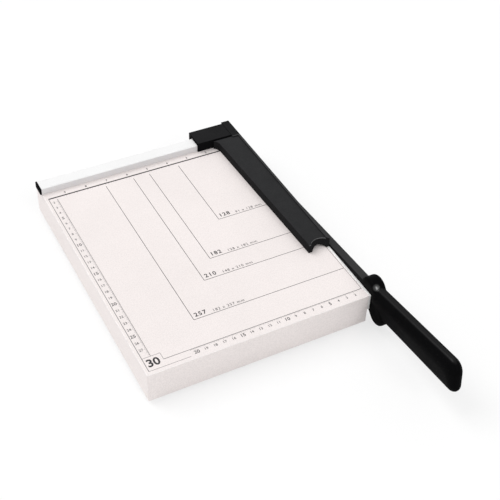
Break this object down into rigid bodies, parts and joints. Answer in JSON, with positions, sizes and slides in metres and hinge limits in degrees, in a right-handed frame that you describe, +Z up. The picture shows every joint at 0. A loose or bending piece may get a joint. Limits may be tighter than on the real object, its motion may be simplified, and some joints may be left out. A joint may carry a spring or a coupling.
{
  "type": "paper cutter",
  "caption": "Guillotine paper trimmer: flat white table with a squaring fence, a fixed bed knife, a hinged knife arm with a long grip and a lifting finger guard.",
  "frame": {"origin": "centre of the overall box at the underside of the feet, with the arm closed and the guard down", "axes": "+X to the right, across the cut towards the knife arm; +Y to the rear, along the cut towards the pivot and the fence; +Z up"},
  "size_m": [0.2673, 0.47, 0.0651],
  "materials": {
    "white_paint": "satin powder coat",
    "ground_steel": "ground",
    "zinc_plated": "zinc plated",
    "black_plastic": "fine moulded texture",
    "grip_plastic": "smooth satin gloss",
    "black_paint": "satin black paint",
    "bush_brass": "turned",
    "black_rubber": "matte"
  },
  "bodies": {
    "base": {"base_tray": "white_paint", "bed_knife": "ground_steel", "bed_knife_screws": "zinc_plated", "bed_knife_nuts": "zinc_plated", "fence": "white_paint", "fence_screws": "zinc_plated", "fence_end_cap": "black_plastic", "guard_block": "black_plastic", "guard_block_screws": "zinc_plated", "guard_pin": "ground_steel", "pivot_bracket": "zinc_plated", "bracket_screws": "zinc_plated", "pivot_bolt": "zinc_plated", "pivot_spacer": "zinc_plated", "pivot_washer": "zinc_plated", "disc_springs": "ground_steel", "pivot_nut": "zinc_plated", "stop_stud": "zinc_plated", "stop_buffer": "black_rubber", "stop_nut": "zinc_plated", "foot_front_left": "black_rubber", "foot_front_right": "black_rubber", "foot_rear_left": "black_rubber", "foot_rear_right": "black_rubber", "foot_screws": "zinc_plated", "foot_nuts": "zinc_plated"},
    "arm": {"arm_bar": "black_paint", "pivot_bush": "bush_brass", "blade": "ground_steel", "blade_screws": "zinc_plated", "handle_grip": "grip_plastic", "grip_screws": "zinc_plated"},
    "guard": {"finger_guard": "black_plastic"}
  },
  "joints": [
    {"name": "arm_swing", "type": "hinge", "parent": "base", "child": "arm", "pos_m": [0.12285, 0.22031, 0.023], "axis": [-1, 0, 0], "range_deg": [0, 70]},
    {"name": "guard_lift", "type": "hinge", "parent": "base", "child": "guard", "pos_m": [0.11285, 0.22631, 0.047], "axis": [-1, 0, 0], "range_deg": [0, 65]}
  ]
}
